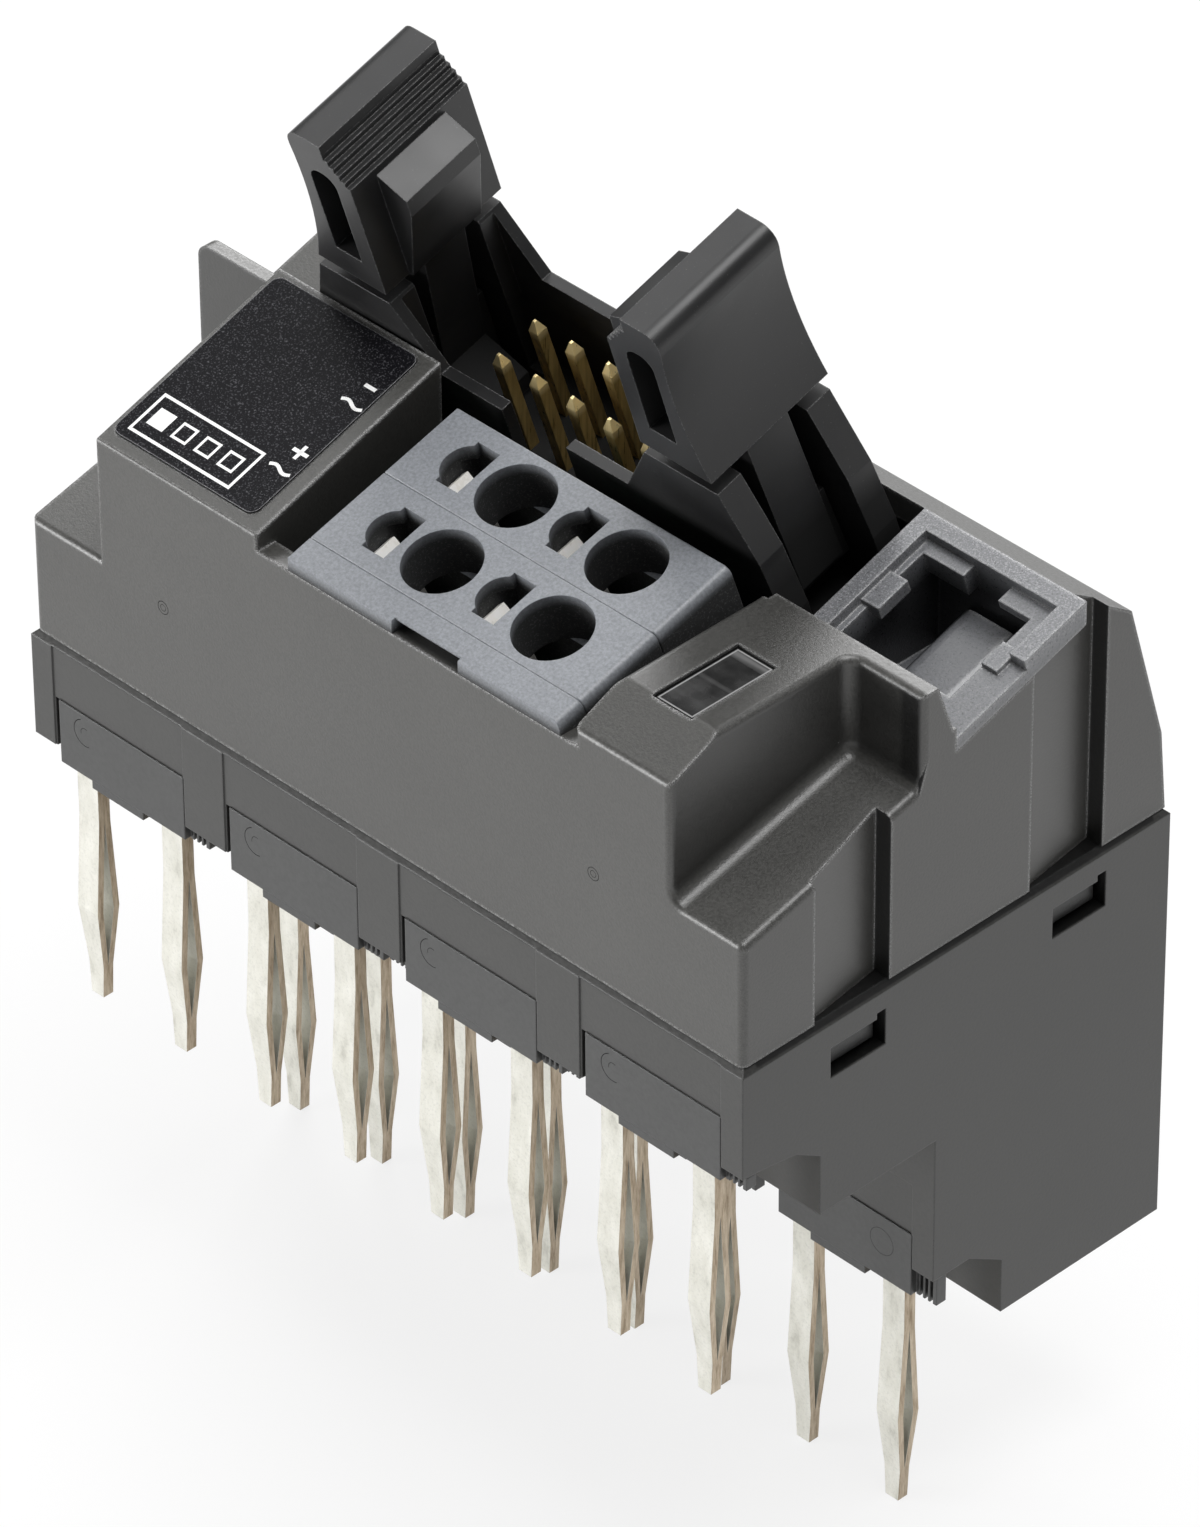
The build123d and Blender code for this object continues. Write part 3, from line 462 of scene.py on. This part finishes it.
def tinned():
    surface = Surface("contact_tin", (0.6, 0.59, 0.55), 0.4, metallic=1.0)
    cloud = surface.noise(0.8, detail=3.0)
    surface.color(surface.ramp(cloud, [(0.3, (0.42, 0.41, 0.38)), (0.7, (0.66, 0.65, 0.61))]))
    surface.roughness(surface.spread(cloud, 0.3, 0.5))
    return surface.material


def contact_silver(row, holder_base):
    """Plated faces, bare copper alloy on the sheared edges, and a stain at the holders."""
    surface = Surface("pin_silver_" + row, (0.72, 0.71, 0.66), 0.38, metallic=0.5)
    surface.soften(0.05)
    scuffs = surface.noise(0.9, detail=4.0, rough=0.65, stretch=(1.0, 1.0, 2.5))
    plated = surface.ramp(
        scuffs, [(0.26, (0.52, 0.51, 0.45)), (0.42, (0.7, 0.69, 0.62)), (0.7, (0.8, 0.79, 0.73))]
    )
    pits = surface.noise(0.16, detail=3.0, rough=0.7)
    pitted = surface.ramp(pits, [(0.28, (0.86, 0.86, 0.86)), (0.5, (1.0, 1.0, 1.0))])
    plated = surface.mix(1.0, plated, pitted, blend="MULTIPLY")
    streaks = surface.noise(0.22, detail=4.0, rough=0.7, stretch=(1.0, 1.0, 7.0))
    copper = surface.ramp(
        streaks, [(0.3, (0.3, 0.22, 0.14)), (0.48, (0.52, 0.42, 0.3)), (0.7, (0.7, 0.6, 0.46))]
    )
    plain = surface.add("ShaderNodeNewGeometry")
    split = surface.add("ShaderNodeSeparateXYZ")
    surface.link(plain.outputs["True Normal"], split.inputs[0])
    edge = surface.spread(surface.absolute(split.outputs["X"]), 0.0, 1.0, 0.7, 0.8)
    tone = surface.mix(edge, plated, copper)
    stain = surface.spread(surface.along(UP), 0.0, 0.85, holder_base - 0.42, holder_base - 0.3)
    surface.color(surface.mix(stain, tone, (0.13, 0.085, 0.055)))
    surface.roughness(surface.spread(scuffs, 0.34, 0.5))
    surface.bump(scuffs, 0.008)
    surface.bump(streaks, 0.003)
    return surface.material


def board_laminate():
    surface = Surface("board_green", (0.03, 0.1, 0.05), 0.35)
    weave = surface.noise(0.6, detail=2.0, stretch=(4.0, 1.0, 1.0))
    surface.color(surface.ramp(weave, [(0.3, (0.02, 0.075, 0.035)), (0.7, (0.035, 0.11, 0.055))]))
    surface.bump(weave, 0.01)
    return surface.material


def dark_strip():
    return moulded("link_black", (0.02, 0.02, 0.02), 0.5, 0.3, 0.006).material


def lamp_resin():
    surface = Surface("lamp_body", (0.7, 0.68, 0.6), 0.3)
    cloud = surface.noise(0.5)
    surface.color(surface.ramp(cloud, [(0.3, (0.62, 0.6, 0.52)), (0.7, (0.74, 0.72, 0.66))]))
    return surface.material


def dress():
    """Gives every node the finish of its slot."""
    finishes = {
        "case_grey": cover_plastic(),
        "holder_grey": holder_plastic(),
        "header_black": header_plastic(),
        "terminal_grey": terminal_plastic(),
        "insert_grey": insert_plastic(),
        "label_black": label_film(),
        "smoked_lens": lens_plastic(),
        "pin_gold": gold(),
        "spring_steel": bright_spring(),
        "contact_tin": tinned(),
        "pin_silver": contact_silver("front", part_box("front_holder_1")[0].z / MM + HOLDER_LIP),
        "board_green": board_laminate(),
        "link_black": dark_strip(),
        "lamp_body": lamp_resin(),
    }
    for part in frame["record"]["subparts"]:
        node = nodes[part["node"]]
        node.data.materials.clear()
        node.data.materials.append(finishes[part["material_slot"]])
    nodes["lower_case"].data.materials[0] = case_plastic()
    rear_silver = contact_silver("rear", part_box("rear_holder_1")[0].z / MM + HOLDER_LIP)
    for name, node in nodes.items():
        if name.startswith("contact_pin_rear"):
            node.data.materials[0] = rear_silver


# Pieces that only the scene has
def new_piece(mesh, name, material):
    data = bpy.data.meshes.new(name)
    mesh.to_mesh(data)
    mesh.free()
    data.materials.append(material)
    piece = bpy.data.objects.new(name, data)
    bpy.context.scene.collection.objects.link(piece)
    return piece


# Label print, in label coordinates: u along X and v up the slope
LABEL_TILT = math.radians(18.2)
LABEL_THICK = 0.2
INK_BASE = 0.004
INK_TOP = 0.02
BOX_CORNERS = (0.75, 0.52, 7.74, 3.0)
BOX_STROKE = 0.17
SQUARE_COUNT = 4
SQUARE_U = 1.76
SQUARE_V = 1.76
SQUARE_PITCH = 1.637
SQUARE_HALF = 0.46
SQUARE_STROKE = 0.15
FILLED_EXTRA = 0.1
SIGN_BARS = (
    ((8.72, 4.06), (9.74, 4.06)),
    ((9.23, 3.6), (9.23, 4.52)),
    ((8.87, 8.92), (9.63, 8.92)),
)
SIGN_STROKE = 0.22
WAVE_MIDDLES = ((9.1, 2.74), (9.2, 7.65))
WAVE_LENGTH = 1.45
WAVE_HEIGHT = 0.26
WAVE_STROKE = 0.2
WAVE_STEPS = 16


class LabelSheet:
    """Draws flat printed marks on the label plate."""

    def __init__(self):
        self.mesh = bmesh.new()
        low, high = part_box("label_plate")
        self.slope = Vector((0, math.cos(LABEL_TILT), math.sin(LABEL_TILT)))
        self.normal = Vector((0, -math.sin(LABEL_TILT), math.cos(LABEL_TILT)))
        top_back = Vector((low.x, high.y, high.z))
        length = (high - low).y / math.cos(LABEL_TILT)
        overhang = LABEL_THICK * MM * math.tan(LABEL_TILT)
        self.origin = top_back - self.slope * (length - overhang)

    def place(self, u, v, lift):
        return self.origin + Vector((u * MM, 0, 0)) + self.slope * v * MM + self.normal * lift * MM

    def polygon(self, points):
        lower = [self.mesh.verts.new(self.place(u, v, INK_BASE)) for u, v in points]
        upper = [self.mesh.verts.new(self.place(u, v, INK_TOP)) for u, v in points]
        self.mesh.faces.new(upper)
        self.mesh.faces.new(list(reversed(lower)))
        count = len(points)
        for i in range(count):
            following = (i + 1) % count
            self.mesh.faces.new((lower[i], lower[following], upper[following], upper[i]))

    def bar(self, start, end, stroke):
        begin = Vector(start)
        finish = Vector(end)
        along = (finish - begin).normalized()
        side = Vector((-along.y, along.x)) * stroke / 2
        corners = [begin - side, finish - side, finish + side, begin + side]
        self.polygon([(p.x, p.y) for p in corners])

    def rectangle(self, left, bottom, right, top, stroke):
        half = stroke / 2
        self.bar((left - half, bottom), (right + half, bottom), stroke)
        self.bar((left - half, top), (right + half, top), stroke)
        self.bar((left, bottom + half), (left, top - half), stroke)
        self.bar((right, bottom + half), (right, top - half), stroke)

    def wave(self, center):
        """An alternating-current mark: one period of a sine."""
        middle = []
        for i in range(WAVE_STEPS + 1):
            share = i / WAVE_STEPS
            u = center[0] + (share - 0.5) * WAVE_LENGTH
            v = center[1] + math.sin(share * 2 * math.pi) * WAVE_HEIGHT / 2
            middle.append((u, v))
        for first, second in zip(middle, middle[1:]):
            self.bar(first, second, WAVE_STROKE)

    def finish(self, name, material):
        piece = new_piece(self.mesh, name, material)
        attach(piece, BODY)


def label_print():
    """A box with one filled and three open squares, a plus, a minus and two waves."""
    sheet = LabelSheet()
    sheet.rectangle(*BOX_CORNERS, BOX_STROKE)
    half = SQUARE_HALF
    v = SQUARE_V
    for i in range(SQUARE_COUNT):
        u = SQUARE_U + SQUARE_PITCH * i
        if i == 0:
            filled = half + FILLED_EXTRA
            sheet.bar((u - filled, v), (u + filled, v), 2 * filled)
        else:
            sheet.rectangle(u - half, v - half, u + half, v + half, SQUARE_STROKE)
    for start, end in SIGN_BARS:
        sheet.bar(start, end, SIGN_STROKE)
    for middle in WAVE_MIDDLES:
        sheet.wave(middle)
    sheet.finish("label_print", print_ink())


# Round marks left by the moulds, raised by MARK_RISE from a foot MARK_SINK inside the face
MARK_SINK = 0.004
MARK_RISE = 0.008
MARK_STEPS = 40
HOLDERS_IN_ROW = 4
FRONT_RINGS = (
    # across from the outer ring's middle, radius, line, first and last angle
    (0.0, 0.78, 0.09, 110.0, 290.0),
    (0.02, 0.3, 0.06, 60.0, 200.0),
)
REAR_RING = (0.78, 0.04)
FRONT_RING_RIGHT = 1.85
FRONT_RING_DOWN = 1.12
REAR_RING_RIGHT = 7.05
REAR_RING_DOWN = 1.57
EJECTOR_PLACES = (9.73, 39.5)
EJECTOR_HEIGHT = 17.64
EJECTOR_RINGS = ((0.36, 0.08), (0.18, 0.06))


def ring(mesh, center, radius, line, from_angle=0.0, to_angle=360.0):
    """A raised round line on a face that looks forward."""
    count = max(4, int(MARK_STEPS * (to_angle - from_angle) / 360.0))
    closed = to_angle - from_angle >= 360.0
    profile = [(radius - line / 2, 0.0), (radius, -MARK_RISE), (radius + line / 2, 0.0)]
    rows = []
    for i in range(count if closed else count + 1):
        angle = math.radians(from_angle + (to_angle - from_angle) * i / count)
        row = []
        for away, lift in profile:
            x = center[0] + away * math.cos(angle)
            z = center[2] + away * math.sin(angle)
            row.append(mesh.verts.new((x * MM, (center[1] + lift) * MM, z * MM)))
        rows.append(row)
    pairs = list(zip(rows, rows[1:]))
    if closed:
        pairs.append((rows[-1], rows[0]))
    for first, second in pairs:
        for k in range(len(profile)):
            following = (k + 1) % len(profile)
            mesh.faces.new((first[k], first[following], second[following], second[k]))
    if not closed:
        mesh.faces.new(rows[0])
        mesh.faces.new(list(reversed(rows[-1])))


def finish_piece(mesh, name, material):
    bmesh.ops.recalc_face_normals(mesh, faces=mesh.faces)
    piece = new_piece(mesh, name, material)
    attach(piece, BODY)


def holder_marks(material):
    mesh = bmesh.new()
    for row in ("front", "rear"):
        for number in range(1, HOLDERS_IN_ROW + 1):
            low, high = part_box("%s_holder_%d" % (row, number))
            left, face, top = low.x / MM, low.y / MM + MARK_SINK, high.z / MM
            if row == "front":
                for across, radius, line, first, last in FRONT_RINGS:
                    x = left + FRONT_RING_RIGHT + across
                    ring(mesh, (x, face, top - FRONT_RING_DOWN), radius, line, first, last)
            else:
                center = (left + REAR_RING_RIGHT, face, top - REAR_RING_DOWN)
                ring(mesh, center, *REAR_RING)
    finish_piece(mesh, "holder_marks", material)


def ejector_marks(material):
    mesh = bmesh.new()
    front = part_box("top_cover")[0].y / MM
    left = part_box("lower_case")[0].x / MM
    for right in EJECTOR_PLACES:
        for radius, line in EJECTOR_RINGS:
            ring(mesh, (left + right, front + MARK_SINK, EJECTOR_HEIGHT), radius, line)
    finish_piece(mesh, "ejector_marks", material)


# Stage and lights, in metres and watts
FLOOR_SIZE = 4.0
FLOOR_GLOW = 0.82
WORLD_LIGHT = 0.17
LIGHT_TARGET = (0.0, 0.0, 0.01)
SOFTBOXES = (
    # name, place, width and height, power
    ("front_softbox", (-0.42, -0.5, 0.08), (0.4, 0.25), 3.9),
    ("back_softbox", (-0.42, 0.44, 0.43), (0.4, 0.3), 2.8),
    ("top_softbox", (0.12, 0.03, 0.68), (0.4, 0.4), 3.5),
    ("slope_softbox", (-0.36, 0.1, 0.6), (0.3, 0.3), 0.5),
    ("side_softbox", (0.6, -0.1, 0.3), (0.3, 0.3), 0.1),
)


def add_floor():
    lowest = min(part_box(name)[0].z for name in nodes)
    mesh = bpy.data.meshes.new("floor")
    half = FLOOR_SIZE / 2
    corners = [(x * half, y * half, lowest) for x, y in ((-1, -1), (1, -1), (1, 1), (-1, 1))]
    mesh.from_pydata(corners, [], [(0, 1, 2, 3)])
    floor = bpy.data.objects.new("floor", mesh)
    bpy.context.scene.collection.objects.link(floor)
    mesh.materials.append(pale_floor())


def pale_floor():
    """Matt paper that the camera and glossy faces see as nearly white, with the part's shadow."""
    surface = Surface("floor_paper", (0.86, 0.86, 0.86), 0.9, specular=0.1)
    paper = surface.noise(30.0)
    surface.color(surface.ramp(paper, [(0.3, (0.85, 0.85, 0.85)), (0.7, (0.87, 0.87, 0.87))]))
    glow = surface.add("ShaderNodeEmission")
    rays = surface.add("ShaderNodeLightPath")
    seen = surface.math("MAXIMUM", rays.outputs["Is Camera Ray"], rays.outputs["Is Glossy Ray"])
    blend = surface.add("ShaderNodeMixShader")
    surface.link(surface.times(seen, FLOOR_GLOW), blend.inputs["Fac"])
    surface.link(surface.shader.outputs[0], blend.inputs[1])
    surface.link(glow.outputs[0], blend.inputs[2])
    surface.link(blend.outputs[0], surface.tree.nodes["Material Output"].inputs["Surface"])
    return surface.material


def add_world():
    """White to the camera and through clear pieces, and faint as a light."""
    world = bpy.data.worlds.new("studio")
    bpy.context.scene.world = world
    world.use_nodes = True
    tree = world.node_tree
    background = tree.nodes["Background"]
    background.inputs["Color"].default_value = (1.0, 1.0, 1.0, 1.0)
    rays = tree.nodes.new("ShaderNodeLightPath")
    seen = tree.nodes.new("ShaderNodeMath")
    seen.operation = "MAXIMUM"
    tree.links.new(rays.outputs["Is Camera Ray"], seen.inputs[0])
    tree.links.new(rays.outputs["Is Transmission Ray"], seen.inputs[1])
    level = tree.nodes.new("ShaderNodeMapRange")
    level.inputs["To Min"].default_value = WORLD_LIGHT
    level.inputs["To Max"].default_value = 1.0
    tree.links.new(seen.outputs[0], level.inputs["Value"])
    tree.links.new(level.outputs["Result"], background.inputs["Strength"])


def add_lights():
    for name, place, size, power in SOFTBOXES:
        data = bpy.data.lights.new(name, "AREA")
        data.shape = "RECTANGLE"
        data.size, data.size_y = size
        data.energy = power
        lamp = bpy.data.objects.new(name, data)
        bpy.context.scene.collection.objects.link(lamp)
        lamp.location = place
        direction = Vector(LIGHT_TARGET) - Vector(place)
        lamp.rotation_euler = direction.to_track_quat("-Z", "Y").to_euler()


# The camera that was fitted to the photograph, in degrees and millimetres
CAMERA_AZIMUTH = 45.895
CAMERA_ELEVATION = 36.999
CAMERA_ROLL = -0.46
CAMERA_DISTANCE = 503.8
CAMERA_TARGET = (-0.05, 7.26, 8.36)
FOCAL_PIXELS = 10304.6
PHOTO_WIDTH = 1200
SENSOR_WIDTH = 36.0
CLIP_START = 0.01


def add_camera():
    azimuth = math.radians(CAMERA_AZIMUTH)
    elevation = math.radians(CAMERA_ELEVATION)
    roll = math.radians(CAMERA_ROLL)
    forward = Vector(
        (
            -math.sin(azimuth) * math.cos(elevation),
            math.cos(azimuth) * math.cos(elevation),
            -math.sin(elevation),
        )
    )
    right = Vector((math.cos(azimuth), math.sin(azimuth), 0))
    up = right.cross(forward)
    image_x = right * math.cos(roll) + up * math.sin(roll)
    image_y = up * math.cos(roll) - right * math.sin(roll)
    data = bpy.data.cameras.new("camera")
    data.sensor_fit = "HORIZONTAL"
    data.sensor_width = SENSOR_WIDTH
    data.lens = FOCAL_PIXELS / PHOTO_WIDTH * SENSOR_WIDTH
    data.clip_start = CLIP_START
    camera = bpy.data.objects.new("camera", data)
    bpy.context.scene.collection.objects.link(camera)
    place = (Vector(CAMERA_TARGET) - forward * CAMERA_DISTANCE) * MM
    turn = Matrix((image_x, image_y, -forward)).transposed().to_4x4()
    camera.matrix_world = Matrix.Translation(place) @ turn
    bpy.context.scene.camera = camera


dress()
label_print()
ring_shade = mark_painted_shade()
holder_marks(ring_shade)
ejector_marks(ring_shade)
add_floor()
add_world()
add_lights()
add_camera()
bpy.context.scene.view_settings.view_transform = "Standard"
